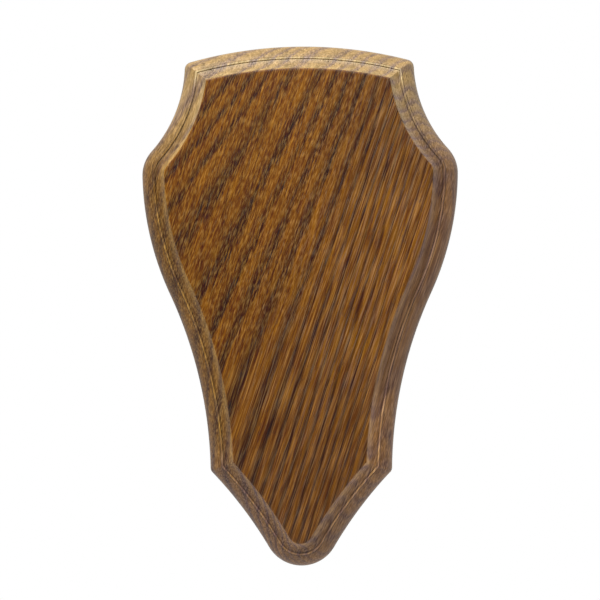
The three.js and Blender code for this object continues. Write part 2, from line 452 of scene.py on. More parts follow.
# %% Node helpers
FLOAT = "NodeSocketFloat"
COLOUR = "NodeSocketColor"
VECTOR = "NodeSocketVector"


def add(tree, kind, inputs=None, **settings):
    """A new node. inputs gives sockets by name or number, each a value or another node's socket."""
    made = tree.nodes.new(kind)
    for name, value in settings.items():
        setattr(made, name, value)
    for socket, source in (inputs or {}).items():
        if isinstance(source, bpy.types.NodeSocket):
            tree.links.new(source, made.inputs[socket])
        else:
            made.inputs[socket].default_value = source
    return made


def calc(tree, operation, *values):
    """One sum: the result of a Math node."""
    return add(tree, "ShaderNodeMath", dict(enumerate(values)), operation=operation).outputs[0]


def between(tree, value, low, high, to_low=0.0, to_high=1.0):
    """Maps a value smoothly from one range onto another."""
    return add(
        tree, "ShaderNodeMapRange",
        {"Value": value, "From Min": low, "From Max": high, "To Min": to_low, "To Max": to_high},
        interpolation_type="SMOOTHSTEP").outputs["Result"]


def new_group(name, inputs, outputs):
    """A shader node group with named sockets, and the nodes where they start and end."""
    tree = bpy.data.node_groups.new(name, "ShaderNodeTree")
    for socket, kind, start in inputs:
        made = tree.interface.new_socket(name=socket, in_out="INPUT", socket_type=kind)
        if start is not None:
            made.default_value = start
    for socket, kind in outputs:
        tree.interface.new_socket(name=socket, in_out="OUTPUT", socket_type=kind)
    return tree, tree.nodes.new("NodeGroupInput"), tree.nodes.new("NodeGroupOutput")


def place(tree, group, inputs=None):
    """Places a group in another tree."""
    made = tree.nodes.new("ShaderNodeGroup")
    made.node_tree = group
    for socket, source in (inputs or {}).items():
        if isinstance(source, bpy.types.NodeSocket):
            tree.links.new(source, made.inputs[socket])
        else:
            made.inputs[socket].default_value = source
    return made


def hand_out(tree, end, results):
    """Links each result to the group's output of that name."""
    for name, socket in results.items():
        tree.links.new(socket, end.inputs[name])


print("node helpers ready")

# %% [markdown]
# ## Growth rings
#
# The board was sawn from a leaning log, so its fibres lean a little to the right, and the
# rings fan out from a tight, straight side to a broad, flat-sawn one. Rings painted on a
# flat picture would break at the moulding. A field through the whole solid, worked out from
# the position, runs on over the rim, down the sides and round the back.

# %% Fibre coordinates
FIBRE_LEAN = math.radians(18.5)


def fibre_group():
    """Object position in, millimetres across, along and through the fibres out."""
    tree, start, end = new_group(
        "fibre coordinates", [("Position", VECTOR, None)],
        [("Across", FLOAT), ("Along", FLOAT), ("Depth", FLOAT)])
    turned = add(
        tree, "ShaderNodeMapping", {
            "Vector": start.outputs["Position"],
            "Rotation": (0, -FIBRE_LEAN, 0),
            "Scale": (1 / MM, 1 / MM, 1 / MM)})
    parts = add(tree, "ShaderNodeSeparateXYZ", {"Vector": turned.outputs["Vector"]}).outputs
    hand_out(tree, end, {"Across": parts["X"], "Along": parts["Z"], "Depth": parts["Y"]})
    return tree


fibres = fibre_group()
print(f"the fibres lean {math.degrees(FIBRE_LEAN):.1f} degrees to the right")

# %% [markdown]
# ## The ring field
#
# A plank's rings are nearly flat sheets, wide on one side and crowded on the other. A Wave
# texture would draw them all equally wide. Here a gentle polynomial fans the sheets out: the
# FAN values say how the rings' lean changes with each step aside or up. A soft bend from
# wide to tight rings then turns the distance into years, and what is left after the whole
# years is the place within a ring.

# %% Rings from the fibre coordinates
FIELD_SPAN = 49.1
FIELD_SHIFT = -0.5
FAN = 0.1825
FAN_SWEEP = 0.0505
FAN_FALL = -0.0804
FAN_FALL_SWEEP = -0.0587
FAN_TWIST = -0.1004
RING_TILT = -0.030
RING_SWEEP = -0.0107
DEPTH_SLOPE = -1.2
WIDE_RING = 11.25
TIGHT_RING = 3.26
TIGHTENS_AT = -0.22
TIGHTENS_OVER = 6.8
FIRST_RING = 7.40
CYCLE_SIZE = 0.29
CYCLE_LENGTH = 48.3
CYCLE_START = 2.97
FACE_DEPTH = node_low.y / MM


def ring_group():
    """Fibre coordinates and a ragged shift in, the place within a ring out."""
    tree, start, end = new_group(
        "growth rings",
        [("Across", FLOAT, 0.0), ("Along", FLOAT, 0.0), ("Depth", FLOAT, 0.0), ("Ragged", FLOAT, 0.0)],
        [("Phase", FLOAT)])
    shifted = calc(tree, "ADD", start.outputs["Across"], FIELD_SHIFT)
    aside = calc(tree, "DIVIDE", shifted, FIELD_SPAN)
    up = calc(tree, "DIVIDE", start.outputs["Along"], FIELD_SPAN)
    twist = calc(tree, "MULTIPLY_ADD", calc(tree, "MULTIPLY", aside, aside), FAN_TWIST, FAN)
    fall = calc(tree, "MULTIPLY_ADD", up, FAN_FALL_SWEEP, FAN_FALL)
    fan = calc(tree, "MULTIPLY_ADD", aside, fall, calc(tree, "MULTIPLY_ADD", up, FAN_SWEEP, twist))
    lean = calc(tree, "MULTIPLY_ADD", up, RING_SWEEP, RING_TILT)
    lean = calc(tree, "MULTIPLY_ADD", aside, fan, lean)
    flat = calc(tree, "MULTIPLY", calc(tree, "MULTIPLY_ADD", up, lean, aside), FIELD_SPAN)
    sunk = calc(tree, "SUBTRACT", start.outputs["Depth"], FACE_DEPTH)
    deep = calc(tree, "MULTIPLY_ADD", sunk, DEPTH_SLOPE, flat)
    radius = calc(tree, "ADD", deep, start.outputs["Ragged"])
    past = calc(tree, "SUBTRACT", radius, TIGHTENS_AT)
    bend = calc(tree, "SQRT", calc(tree, "MULTIPLY_ADD", past, past, TIGHTENS_OVER**2))
    crowding = (1 / TIGHT_RING - 1 / WIDE_RING) / 2
    extra = calc(tree, "MULTIPLY", calc(tree, "ADD", past, bend), crowding)
    turn = calc(tree, "MULTIPLY_ADD", radius, 2 * math.pi / CYCLE_LENGTH, CYCLE_START)
    cycle = calc(tree, "SINE", turn)
    plain = calc(tree, "MULTIPLY_ADD", radius, 1 / WIDE_RING, FIRST_RING)
    years = calc(tree, "ADD", calc(tree, "ADD", plain, extra), calc(tree, "MULTIPLY", cycle, CYCLE_SIZE))
    hand_out(tree, end, {"Phase": calc(tree, "FRACT", years)})
    return tree


rings_of_growth = ring_group()
print(f"rings from {WIDE_RING} mm wide down to {TIGHT_RING} mm")

# %% [markdown]
# ## Streaks and pores
#
# Oak is ring-porous: each spring it grows rows of wide vessels, and a cut along the fibres
# opens them into fine dark grooves a few millimetres long. Noise drawn out along the fibres
# gives the soft streaks, and stretched cells give the separate grooves. Because both are
# fields through the solid, they turn into dots where the rim cuts across the fibres.

# %% Streak and vessel groups
STREAK_DETAIL = 1.0
STREAK_ROUGHNESS = 0.55
STREAK_SPREAD = 3.0
VESSEL_CORE = 0.5
FIBRE_SOCKETS = [
    ("Across", FLOAT, 0.0), ("Along", FLOAT, 0.0), ("Depth", FLOAT, 0.0),
    ("Width", FLOAT, 1.0), ("Length", FLOAT, 10.0), ("Shift", FLOAT, 0.0)]


def stretched(tree, start):
    """The fibre coordinates, squeezed along the fibres by the group's Width and Length."""
    across = calc(tree, "DIVIDE", start.outputs["Across"], start.outputs["Width"])
    through = calc(tree, "DIVIDE", start.outputs["Depth"], start.outputs["Width"])
    along = calc(tree, "DIVIDE", start.outputs["Along"], start.outputs["Length"])
    shifted = calc(tree, "ADD", across, start.outputs["Shift"])
    return add(tree, "ShaderNodeCombineXYZ", {"X": shifted, "Y": through, "Z": along}).outputs["Vector"]


def streak_group():
    """Soft noise drawn out along the fibres, around 0."""
    tree, start, end = new_group("fibre streaks", FIBRE_SOCKETS, [("Streak", FLOAT)])
    noise = add(tree, "ShaderNodeTexNoise", {
        "Vector": stretched(tree, start), "Scale": 1.0, "Detail": STREAK_DETAIL,
        "Roughness": STREAK_ROUGHNESS})
    centred = calc(tree, "SUBTRACT", noise.outputs["Fac"], 0.5)
    hand_out(tree, end, {"Streak": calc(tree, "MULTIPLY", centred, STREAK_SPREAD)})
    return tree


def vessel_group():
    """A mask of cut vessels: 1 in a groove, 0 between them."""
    tree, start, end = new_group(
        "cut vessels", FIBRE_SOCKETS + [("Bore", FLOAT, 0.3)], [("Groove", FLOAT)])
    cells = add(tree, "ShaderNodeTexVoronoi", {
        "Vector": stretched(tree, start), "Scale": 1.0, "Randomness": 1.0}, feature="F1")
    bore = start.outputs["Bore"]
    core = calc(tree, "MULTIPLY", bore, VESSEL_CORE)
    hand_out(tree, end, {"Groove": between(tree, cells.outputs["Distance"], core, bore, 1.0, 0.0)})
    return tree


streaks = streak_group()
vessels = vessel_group()
print(f"groups ready: {streaks.name}, {vessels.name}")

# %% [markdown]
# ## Flecks and lines
#
# One side of the board is flat-sawn and full of short flecks. The other has long straight
# lines, which reach further over towards the foot. One noise for both would be too wavy or
# too spotted, so two are mixed by place. The sizes are the widths and lengths of the marks
# in millimetres. Four numbers together are a range and what it turns into.

# %% Marks along the fibres
SHORT_FLECKS = {"Width": 0.46, "Length": 2.8, "Shift": 3.0}
LONG_LINES = {"Width": 0.42, "Length": 14.0, "Shift": 33.0}
HUE_STREAKS = {"Width": 0.75, "Length": 14.0, "Shift": 57.0}
MIDDLE_STREAKS = {"Width": 1.8, "Length": 16.0, "Shift": 11.0}
BROAD_STREAKS = {"Width": 7.0, "Length": 60.0, "Shift": 23.0}
# Flecks that break up the painted sheen of the grey veil.
SHEEN_BREAKS = {"Width": 0.42, "Length": 2.6, "Shift": 91.0}
SHORT_STRENGTH = 1.2
LONG_STRENGTH = 1.7
LINES_BEGIN = (-12, 12)
LINES_SPREAD = 0.7
LINES_REPLACE_FLECKS = 0.78
FINE_FADES = (-20, 40, 1.15, 0.85)
FIBRE_PLACE = [("Across", FLOAT, 0.0), ("Along", FLOAT, 0.0), ("Depth", FLOAT, 0.0)]


def marks_group():
    """Fibre coordinates in; each kind of mark, and where the long lines run, out."""
    tree, start, end = new_group(
        "marks along the fibres", FIBRE_PLACE,
        [(name, FLOAT) for name in ("Fine", "Middle", "Broad", "Hue", "Sheen breaks", "Lines")])
    here = {name: start.outputs[name] for name in ("Across", "Along", "Depth")}

    def streak(sizes):
        return place(tree, streaks, {**here, **sizes}).outputs["Streak"]

    below = calc(tree, "MAXIMUM", calc(tree, "MULTIPLY", here["Along"], -LINES_SPREAD), 0.0)
    lines = between(tree, calc(tree, "ADD", here["Across"], below), *LINES_BEGIN)
    share = calc(tree, "MULTIPLY", lines, LINES_REPLACE_FLECKS)
    short = calc(tree, "MULTIPLY", streak(SHORT_FLECKS), SHORT_STRENGTH)
    long = calc(tree, "MULTIPLY", streak(LONG_LINES), LONG_STRENGTH)
    mixed = add(tree, "ShaderNodeMix", {0: share, 2: short, 3: long}, data_type="FLOAT").outputs[0]
    hand_out(tree, end, {
        "Fine": calc(tree, "MULTIPLY", mixed, between(tree, here["Across"], *FINE_FADES)),
        "Middle": streak(MIDDLE_STREAKS), "Broad": streak(BROAD_STREAKS),
        "Hue": streak(HUE_STREAKS), "Sheen breaks": streak(SHEEN_BREAKS), "Lines": lines})
    return tree


marks = marks_group()
print(f"{marks.name}: {len(marks.nodes)} nodes")

# %% [markdown]
# ## Spring-wood bands
#
# The dark bands are the open spring wood of each ring. Their edges run out along the fibres
# in ragged teeth, most of all towards the crown, and here and there a band is broken.
# Darkening by the ring alone would give clean stripes, so the marks push the rings about
# before they are read.

# %% Dark bands
RAGGED_FINE = 0.4
RAGGED_MIDDLE = 0.8
RAGGED_BROAD = 1.2
WILD_UPWARDS = (-40, 20, 0.30, 1.0)
WILD_IN_LINES = (0, 1, 1.0, 0.6)
BAND_BREAKS = {"Width": 0.8, "Length": 11.0, "Shift": 131.0}
BREAK_DEPTH = (-0.6, 0.3, -0.55, 0.1)
BAND_FADES_ACROSS = (0, 40, 1.0, 0.64)
BAND_FADES_UPWARDS = (-40, 20, 1.3, 1.0)
BAND_IN_MOULDING = -0.4
BAND_STOPS = (
    (0.06, 0.88), (0.13, 0.45), (0.24, 0.04), (0.52, 0.03), (0.66, 0.22), (0.80, 0.60), (0.92, 1.0))


def band_curve(tree, phase):
    """How far a place within a ring belongs to the dark spring wood, 0 to 1."""
    ramp = add(tree, "ShaderNodeValToRGB", {"Fac": phase})
    stops = ramp.color_ramp
    stops.interpolation = "EASE"
    stops.elements[0].color = (1, 1, 1, 1)
    for at, level in BAND_STOPS:
        stops.elements.new(at).color = (level, level, level, 1)
    return ramp.outputs["Color"]


def bands_group():
    """Fibre coordinates, marks and the moulding's mask in; the dark bands out."""
    names = ("Fine", "Middle", "Broad", "Lines", "Moulding")
    tree, start, end = new_group(
        "spring-wood bands", FIBRE_PLACE + [(name, FLOAT, 0.0) for name in names], [("Band", FLOAT)])
    here = {name: start.outputs[name] for name in ("Across", "Along", "Depth")}
    fine, middle, broad, lines, moulding = (start.outputs[name] for name in names)
    wild = calc(
        tree, "MULTIPLY", between(tree, here["Along"], *WILD_UPWARDS), between(tree, lines, *WILD_IN_LINES))
    ragged = calc(tree, "MULTIPLY", fine, RAGGED_FINE)
    ragged = calc(tree, "MULTIPLY_ADD", middle, RAGGED_MIDDLE, ragged)
    ragged = calc(tree, "MULTIPLY_ADD", broad, RAGGED_BROAD, ragged)
    ragged = calc(tree, "MULTIPLY", ragged, wild)
    ring = place(tree, rings_of_growth, {**here, "Ragged": ragged})
    band = band_curve(tree, ring.outputs["Phase"])
    broken = between(tree, place(tree, streaks, {**here, **BAND_BREAKS}).outputs["Streak"], *BREAK_DEPTH)
    band = calc(tree, "MULTIPLY", band, calc(tree, "MULTIPLY_ADD", broken, wild, 1.0))
    band = calc(tree, "MULTIPLY", band, between(tree, here["Across"], *BAND_FADES_ACROSS))
    band = calc(tree, "MULTIPLY", band, between(tree, here["Along"], *BAND_FADES_UPWARDS))
    faint = calc(tree, "MULTIPLY_ADD", moulding, BAND_IN_MOULDING, 1.0)
    hand_out(tree, end, {"Band": calc(tree, "MULTIPLY", band, faint)})
    return tree


bands = bands_group()
print(f"{bands.name}: {len(bands.nodes)} nodes")

# %% [markdown]
# ## Cut vessels
#
# Rows of wide vessels fill the bands, and a few narrow ones are scattered over the summer
# wood. One size of cell for both would look like printed dots, so each has its own.

# %% Pores
SPRING_PORES = {"Width": 0.62, "Length": 6.0, "Bore": 0.42, "Shift": 5.0}
SUMMER_PORES = {"Width": 0.9, "Length": 4.0, "Bore": 0.26, "Shift": 17.0}
SUMMER_STRENGTH = 0.6


def pores_group():
    """Fibre coordinates and the dark bands in, the grooves of the cut vessels out."""
    tree, start, end = new_group("pores", FIBRE_PLACE + [("Band", FLOAT, 0.0)], [("Groove", FLOAT)])
    here = {name: start.outputs[name] for name in ("Across", "Along", "Depth")}
    wide = place(tree, vessels, {**here, **SPRING_PORES}).outputs["Groove"]
    narrow = place(tree, vessels, {**here, **SUMMER_PORES}).outputs["Groove"]
    spring = calc(tree, "MULTIPLY", wide, start.outputs["Band"])
    summer = calc(tree, "MULTIPLY", narrow, SUMMER_STRENGTH)
    hand_out(tree, end, {"Groove": calc(tree, "MAXIMUM", spring, summer)})
    return tree


pores = pores_group()
print(f"{pores.name}: {len(pores.nodes)} nodes")

# %% [markdown]
# ## Places on the board
#
# The moulding is told from the face, so that it can be painted greyer as a painted sheen
# and palest on the crown as painted light. The arrises and the fillet are painted pale,
# partly wear from hands and sandpaper and partly a painted highlight, and on the crown the
# fillet is painted lighter to lift its shade. The quirk is painted dark as painted shade,
# except on the crown, where the light from above reaches it. None of that follows the
# rings, so it could be painted on by hand. Masks worked out from a point's height, depth and
# facing need no painting, and they keep to the moulding exactly. Heights and depths are in
# millimetres.

# %% Masks of the places
QUIRK_DEPTH = section_quirk / MM
MOULDING_BEGINS = (FACE_DEPTH + 0.1, FACE_DEPTH + 0.7)
CROWN_BEGINS = (40, 84)
OVOLO_BEGINS = (QUIRK_DEPTH - 0.2, QUIRK_DEPTH + 0.2)
# The arrises and the fillet are painted pale: partly wear, partly a painted highlight, and on the crown
# painted light that lifts the fillet's shade.
ARRIS_BEGINS = (FACE_DEPTH + 0.02, FACE_DEPTH + 0.12)
ARRIS_ENDS = (FACE_DEPTH + 1.2, FACE_DEPTH + 3.2)
ARRIS_LESS_AT_CROWN = -0.8
FILLET_FACES = (-0.99, -0.90, 1.0, 0.0)
FILLET_WEAR_AND_HIGHLIGHT = (30, 50, 0.9, 0.1)
FILLET_PAINTED_LIGHT_CROWN = (82, 88)
# The quirk is painted dark as painted shade, left out on the crown, where the light from above reaches it.
QUIRK_BEGINS = (QUIRK_DEPTH - 0.24, QUIRK_DEPTH - 0.10)
QUIRK_ENDS = (QUIRK_DEPTH, QUIRK_DEPTH + 0.2)
QUIRK_PAINTED_SHADE = 0.60
QUIRK_SHADE_GONE_AT_CROWN = (82, 90, 1.0, 0.0)


def window(tree, value, begins, ends, most=1.0):
    """A mask that rises over one range of a value and falls again over another."""
    return calc(
        tree, "MULTIPLY", between(tree, value, *begins), between(tree, value, *ends, most, 0.0))


def places_group():
    """Position and facing in; the board's coordinates and the masks of its places out."""
    tree, start, end = new_group(
        "places on the board", [("Position", VECTOR, None), ("Facing", VECTOR, None)],
        [(name, FLOAT) for name in (
            "Across", "Along", "Depth", "Side", "Rise", "Moulding", "Crown", "Ovolo", "Wear and highlight", "Quirk shade")])
    turned = place(tree, fibres, {"Position": start.outputs["Position"]})
    depth = turned.outputs["Depth"]
    metres = add(tree, "ShaderNodeSeparateXYZ", {"Vector": start.outputs["Position"]})
    rise = calc(tree, "DIVIDE", metres.outputs["Z"], MM)
    moulding = between(tree, depth, *MOULDING_BEGINS)
    crown_share = between(tree, rise, *CROWN_BEGINS)

    # The arris by the field is painted pale: partly wear, partly a painted highlight.
    arris = window(tree, depth, ARRIS_BEGINS, ARRIS_ENDS)
    lessened = calc(tree, "MULTIPLY_ADD", crown_share, ARRIS_LESS_AT_CROWN, 1.0)
    arris = calc(tree, "MULTIPLY", arris, lessened)
    forward = add(tree, "ShaderNodeSeparateXYZ", {"Vector": start.outputs["Facing"]}).outputs["Y"]
    fillet = calc(tree, "MULTIPLY", between(tree, forward, *FILLET_FACES), moulding)
    # The fillet is painted lighter: partly wear low on the board, and on the crown painted light that lifts
    # its shade.
    fillet_lift = calc(
        tree, "MAXIMUM", between(tree, rise, *FILLET_WEAR_AND_HIGHLIGHT), between(tree, rise, *FILLET_PAINTED_LIGHT_CROWN))
    wear_and_highlight = calc(tree, "MAXIMUM", arris, calc(tree, "MULTIPLY", fillet, fillet_lift))
    # Painted shade in the quirk, none on the crown.
    quirk_shade = window(tree, depth, QUIRK_BEGINS, QUIRK_ENDS, QUIRK_PAINTED_SHADE)
    quirk_shade = calc(tree, "MULTIPLY", quirk_shade, between(tree, rise, *QUIRK_SHADE_GONE_AT_CROWN))

    hand_out(tree, end, {
        "Across": turned.outputs["Across"], "Along": turned.outputs["Along"], "Depth": depth,
        "Side": calc(tree, "DIVIDE", metres.outputs["X"], MM), "Rise": rise, "Moulding": moulding,
        "Crown": crown_share, "Ovolo": between(tree, depth, *OVOLO_BEGINS), "Wear and highlight": wear_and_highlight,
        "Quirk shade": quirk_shade})
    return tree


places = places_group()
print(f"{places.name}: {len(places.nodes)} nodes")

# %% [markdown]
# ## Tints by place and painted light
#
# The left side of this board is warmer, the foot of its face darker, and the ovolo on the
# right paler. The cove on the right flank is painted darker as painted shade, and the neck's
# moulding is painted a little lighter on the left as painted light from the upper left, and
# cooler on the right as a painted sheen on its shaded side. Noise would put such patches
# anywhere, so each is one tint, multiplied in where its mask says so.

# %% Tints by place
WARM_FACE = (-35, 30, 1.0, 0.0)
WARM_MOULDING = (-30, -5, 1.0, 0.0)
WARM_ABOVE = (-75, -45)
WARM_TINT = (1.00, 0.95, 0.50, 1)
FOOT = (-60, -5, 1.0, 0.0)
FOOT_TINT = (0.86, 0.81, 0.70, 1)
RIGHT_MOULDING = (0, 20)
FLANK = (-45, -25)
FLANK_PALE = 0.45
TAIL_PALE = (-75, -63, 0.4, 1.0)
PALE_TINT = (1.35, 1.33, 1.25, 1)
# Painted shade for the cove on the right flank.
COVE_PAINTED_SHADE = (0.82, 0.80, 0.84, 1)
NECK_BEGINS = (35, 55)
NECK_ENDS = (80, 88)
NECK_SIDES = (-20, 20)
# Painted light on the neck's left side, painted sheen on its shaded right side.
NECK_PAINTED_LIGHT = (1.04, 1.03, 1.02, 1)
NECK_PAINTED_SHEEN = (0.94, 0.97, 1.15, 1)
STAIN_PLACES = ("Across", "Side", "Rise", "Moulding", "Crown", "Ovolo")


def blend(tree, kind, share, under, over):
    """One paint over another: a Mix node for colours."""
    return add(
        tree, "ShaderNodeMix", {0: share, 6: under, 7: over}, data_type="RGBA", blend_type=kind).outputs[2]


def opposite(tree, mask):
    """The mask turned round: 1 where it was 0."""
    return calc(tree, "SUBTRACT", 1.0, mask)


def tint_group():
    """A stained colour and its place in; the colour with its tints, painted shade and painted sheen out."""
    tree, start, end = new_group(
        "tints and painted light", [("Color", COLOUR, None)] + [(name, FLOAT, 0.0) for name in STAIN_PLACES],
        [("Color", COLOUR)])
    across, side, rise, moulding, crown_share, ovolo = (start.outputs[name] for name in STAIN_PLACES)
    face = opposite(tree, moulding)
    lower = calc(tree, "MULTIPLY", moulding, opposite(tree, crown_share))
    left = calc(tree, "MULTIPLY", between(tree, side, *WARM_MOULDING), lower)
    left = calc(tree, "MULTIPLY", left, between(tree, rise, *WARM_ABOVE))
    warm = calc(tree, "MULTIPLY_ADD", between(tree, across, *WARM_FACE), face, left)
    colour = blend(tree, "MULTIPLY", warm, start.outputs["Color"], WARM_TINT)
    foot = calc(tree, "MULTIPLY", between(tree, rise, *FOOT), face)
    colour = blend(tree, "MULTIPLY", foot, colour, FOOT_TINT)

    right = calc(tree, "MULTIPLY", between(tree, side, *RIGHT_MOULDING), lower)
    flank_share = between(tree, rise, *FLANK)
    tail_share = calc(tree, "MULTIPLY", between(tree, rise, *TAIL_PALE), opposite(tree, flank_share))
    pale = calc(tree, "MULTIPLY_ADD", calc(tree, "MULTIPLY", ovolo, flank_share), FLANK_PALE, tail_share)
    colour = blend(tree, "MULTIPLY", calc(tree, "MULTIPLY", pale, right), colour, PALE_TINT)
    # The cove on the right flank is painted darker: painted shade.
    deep = calc(tree, "MULTIPLY", opposite(tree, ovolo), flank_share)
    colour = blend(tree, "MULTIPLY", calc(tree, "MULTIPLY", deep, right), colour, COVE_PAINTED_SHADE)

    # The neck's moulding: painted light on the left, painted sheen on the shaded right.
    at_neck = calc(tree, "MULTIPLY", window(tree, rise, NECK_BEGINS, NECK_ENDS), moulding)
    neck_light_and_sheen = blend(tree, "MIX", between(tree, side, *NECK_SIDES), NECK_PAINTED_LIGHT, NECK_PAINTED_SHEEN)
    hand_out(tree, end, {"Color": blend(tree, "MULTIPLY", at_neck, colour, neck_light_and_sheen)})
    return tree


uneven = tint_group()
print(f"{uneven.name}: {len(uneven.nodes)} nodes")

# %% [markdown]
# ## Sway of lightness
#
# Across its middle the board is painted a little lighter on the right, a painted sheen, and
# at both ends a little darker there. A lamp would change the moulding too, so a small number
# added to the coat's lightness keeps it on the face and the belt.

# %% Sway of lightness
BELT_BEGINS = (-10, 12)
BELT_ENDS = (34, 52)
# The belt's lift on the right is a painted sheen.
BELT_PAINTED_SHEEN = (-30, 30, -0.08, 0.10)
TOP_END = (40, 58)
FOOT_END = (-40, -15, 0.7, 0.0)
END_SWAY = (0, 20, 0.0, -0.12)


def sway_group():
    """A place in, how much lighter or darker the coat is there out."""
    tree, start, end = new_group(
        "sway and painted sheen", [(name, FLOAT, 0.0) for name in ("Side", "Rise", "Moulding")],
        [("Sway", FLOAT)])
    side, rise = start.outputs["Side"], start.outputs["Rise"]
    # The belt across the middle is painted lighter on the right: a painted sheen.
    belt = window(tree, rise, BELT_BEGINS, BELT_ENDS)
    belt = calc(tree, "MULTIPLY", belt, between(tree, side, *BELT_PAINTED_SHEEN))
    ends = calc(tree, "MAXIMUM", between(tree, rise, *TOP_END), between(tree, rise, *FOOT_END))
    ends = calc(tree, "MULTIPLY", ends, opposite(tree, start.outputs["Moulding"]))
    hand_out(tree, end, {
        "Sway": calc(tree, "MULTIPLY_ADD", ends, between(tree, side, *END_SWAY), belt)})
    return tree


sways = sway_group()
print(f"{sways.name}: {len(sways.nodes)} nodes")

# %% [markdown]
# ## The stained colours
#
# Stain sinks into the open spring wood and leaves it dark and cool, while the dense summer
# wood stays a warm, golden brown. The moulding is painted greyer, a painted sheen, and
# palest on the crown, painted light and a painted highlight from the softbox above. A thin
# grey veil over everything is a painted sheen, stronger on the right, that the fibres break
# into flecks, and the fine flecks are partly the grain's own and partly painted glints. Each
# step mixes or multiplies over the one before, as the coats do, so the figure shows through
# them all.

# %% Stained oak
GOLD = (0.222, 0.088, 0.0045, 1)
RUSSET = (0.115, 0.037, 0.006, 1)
HUE_RANGE = (-0.6, 0.6)
# The moulding's colours: a painted sheen lower down, painted light and a painted highlight on the crown.
PAINTED_SHEEN_LOW = (0.170, 0.100, 0.054, 1)
CROWN_PAINTED_LIGHT = (0.345, 0.222, 0.084, 1)
SHEEN_MIX = 0.50
SHEEN_MIX_AT_CROWN = 0.40
SPRING_TINT = (0.39, 0.40, 1.10, 1)
# Pale arrises and fillet: partly wear, partly a painted highlight and painted light.
WEAR_AND_HIGHLIGHT_TINT = (1.7, 2.0, 2.6, 1)
# The dark of the cut vessels, also painted into the quirk as painted shade.
PORE_AND_SHADE_DARK = (0.035, 0.015, 0.009, 1)
GROOVE_SHARE = 0.7
# Fine flecks: partly the grain's own, partly painted glints.
GLINT_AND_FLECK = (0.092, 0.066, 0.042)
DULLEST_FLECK = -0.25
# A grey veil of painted sheen, stronger on the right.
SHEEN_GREY = (0.006, 0.006, 0.006)
SHEEN_BROKEN_BY_FLECKS = 0.6
SHEEN_ACROSS = (-25, 25, 0.1, 0.9)
DARKEST = (0.004, 0.002, 0.001)
LEVEL_FINE = 0.18
LEVEL_MIDDLE = (0, 1, 0.30, 0.14)
LEVEL_BROAD = 0.14
RELIEF_FINE = 0.3


def paint_math(tree, operation, one, other):
    """A sum of two colours, or a colour times a number."""
    socket = "Scale" if operation == "SCALE" else 1
    return add(
        tree, "ShaderNodeVectorMath", {0: one, socket: other}, operation=operation).outputs["Vector"]


def oak_group():
    """Position and facing in; the stained colour, the cut vessels and the relief out."""
    tree, start, end = new_group(
        "stained oak", [("Position", VECTOR, None), ("Facing", VECTOR, None)],
        [("Color", COLOUR), ("Groove", FLOAT), ("Relief", FLOAT)])
    at = place(tree, places, {name: start.outputs[name] for name in ("Position", "Facing")}).outputs
    here = {name: at[name] for name in ("Across", "Along", "Depth")}
    mark = place(tree, marks, here).outputs
    pushed = {name: mark[name] for name in ("Fine", "Middle", "Broad", "Lines")}
    band = place(tree, bands, {**here, **pushed, "Moulding": at["Moulding"]}).outputs["Band"]
    groove = place(tree, pores, {**here, "Band": band}).outputs["Groove"]

    body = blend(tree, "MIX", between(tree, mark["Hue"], *HUE_RANGE), RUSSET, GOLD)
    # The moulding is painted greyer as a painted sheen, and palest on the crown as painted light from above.
    painted_rim_light = blend(tree, "MIX", at["Crown"], PAINTED_SHEEN_LOW, CROWN_PAINTED_LIGHT)
    painted_mix_share = calc(tree, "MULTIPLY_ADD", at["Crown"], SHEEN_MIX_AT_CROWN, SHEEN_MIX)
    body = blend(tree, "MIX", calc(tree, "MULTIPLY", at["Moulding"], painted_mix_share), body, painted_rim_light)
    body = blend(tree, "MULTIPLY", band, body, SPRING_TINT)
    # Arrises and fillet painted pale: partly wear, partly a painted highlight.
    body = blend(tree, "MULTIPLY", at["Wear and highlight"], body, WEAR_AND_HIGHLIGHT_TINT)
    # The quirk painted dark: painted shade.
    body = blend(tree, "MIX", at["Quirk shade"], body, PORE_AND_SHADE_DARK)
    body = blend(tree, "MIX", calc(tree, "MULTIPLY", groove, GROOVE_SHARE), body, PORE_AND_SHADE_DARK)

    level = calc(tree, "MULTIPLY_ADD", mark["Fine"], LEVEL_FINE, 1.0)
    level = calc(tree, "MULTIPLY_ADD", mark["Middle"], between(tree, mark["Lines"], *LEVEL_MIDDLE), level)
    level = calc(tree, "MULTIPLY_ADD", mark["Broad"], LEVEL_BROAD, level)
    # The sway holds a painted sheen across the middle on the right.
    sway = place(tree, sways, {name: at[name] for name in ("Side", "Rise", "Moulding")}).outputs["Sway"]
    lit = paint_math(tree, "SCALE", body, calc(tree, "ADD", level, sway))
    # Painted glints among the grain's own flecks, then a grey veil of painted sheen.
    glint_and_fleck = paint_math(tree, "SCALE", GLINT_AND_FLECK, calc(tree, "MAXIMUM", mark["Fine"], DULLEST_FLECK))
    sheen_amount = calc(
        tree, "MULTIPLY_ADD", mark["Sheen breaks"], SHEEN_BROKEN_BY_FLECKS, between(tree, at["Across"], *SHEEN_ACROSS))
    sheen_grey = paint_math(tree, "SCALE", SHEEN_GREY, sheen_amount)
    with_sheen = paint_math(tree, "ADD", paint_math(tree, "ADD", lit, glint_and_fleck), sheen_grey)
    coat = place(tree, uneven, {"Color": with_sheen, **{name: at[name] for name in STAIN_PLACES}})
    hand_out(tree, end, {
        "Color": paint_math(tree, "MAXIMUM", coat.outputs["Color"], DARKEST),
        "Groove": groove,
        "Relief": calc(tree, "SUBTRACT", calc(tree, "MULTIPLY", mark["Fine"], RELIEF_FINE), groove)})
    return tree


oak = oak_group()
print(f"{oak.name}: {len(oak.nodes)} nodes")

# %% [markdown]
# ## The waxed finish
#
# Wax dries to a satin skin on the summer wood and stays dull in the open pores. The whole
# coat could be a second, clear layer, but on such a thin one only the roughness shows, and
# a bump a twentieth of a millimetre deep lets the pores catch the light.

